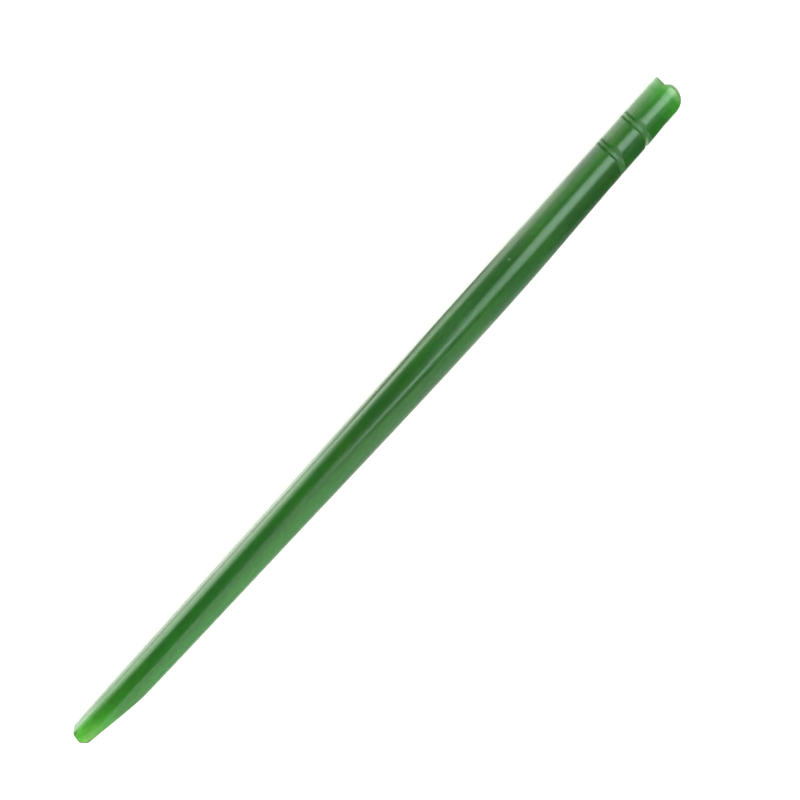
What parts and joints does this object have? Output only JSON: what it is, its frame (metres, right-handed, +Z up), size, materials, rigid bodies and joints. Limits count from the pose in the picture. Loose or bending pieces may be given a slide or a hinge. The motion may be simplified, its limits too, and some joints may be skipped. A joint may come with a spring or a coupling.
{
  "type": "hair stick",
  "caption": "Straight carved hair stick of polished green stone, with two incised rings, a stepped crown at the thick end and a bevelled blunt tip.",
  "frame": {"origin": "bottom centre of the box, on the surface that the stick lies on", "axes": "+X along the stick from its tip to its crown, +Y to its straight left edge, +Z up from the surface"},
  "size_m": [0.176, 0.009, 0.0075],
  "materials": {
    "green_stone": "polished"
  },
  "bodies": {
    "root": {"hair_stick": "green_stone"}
  },
  "joints": []
}
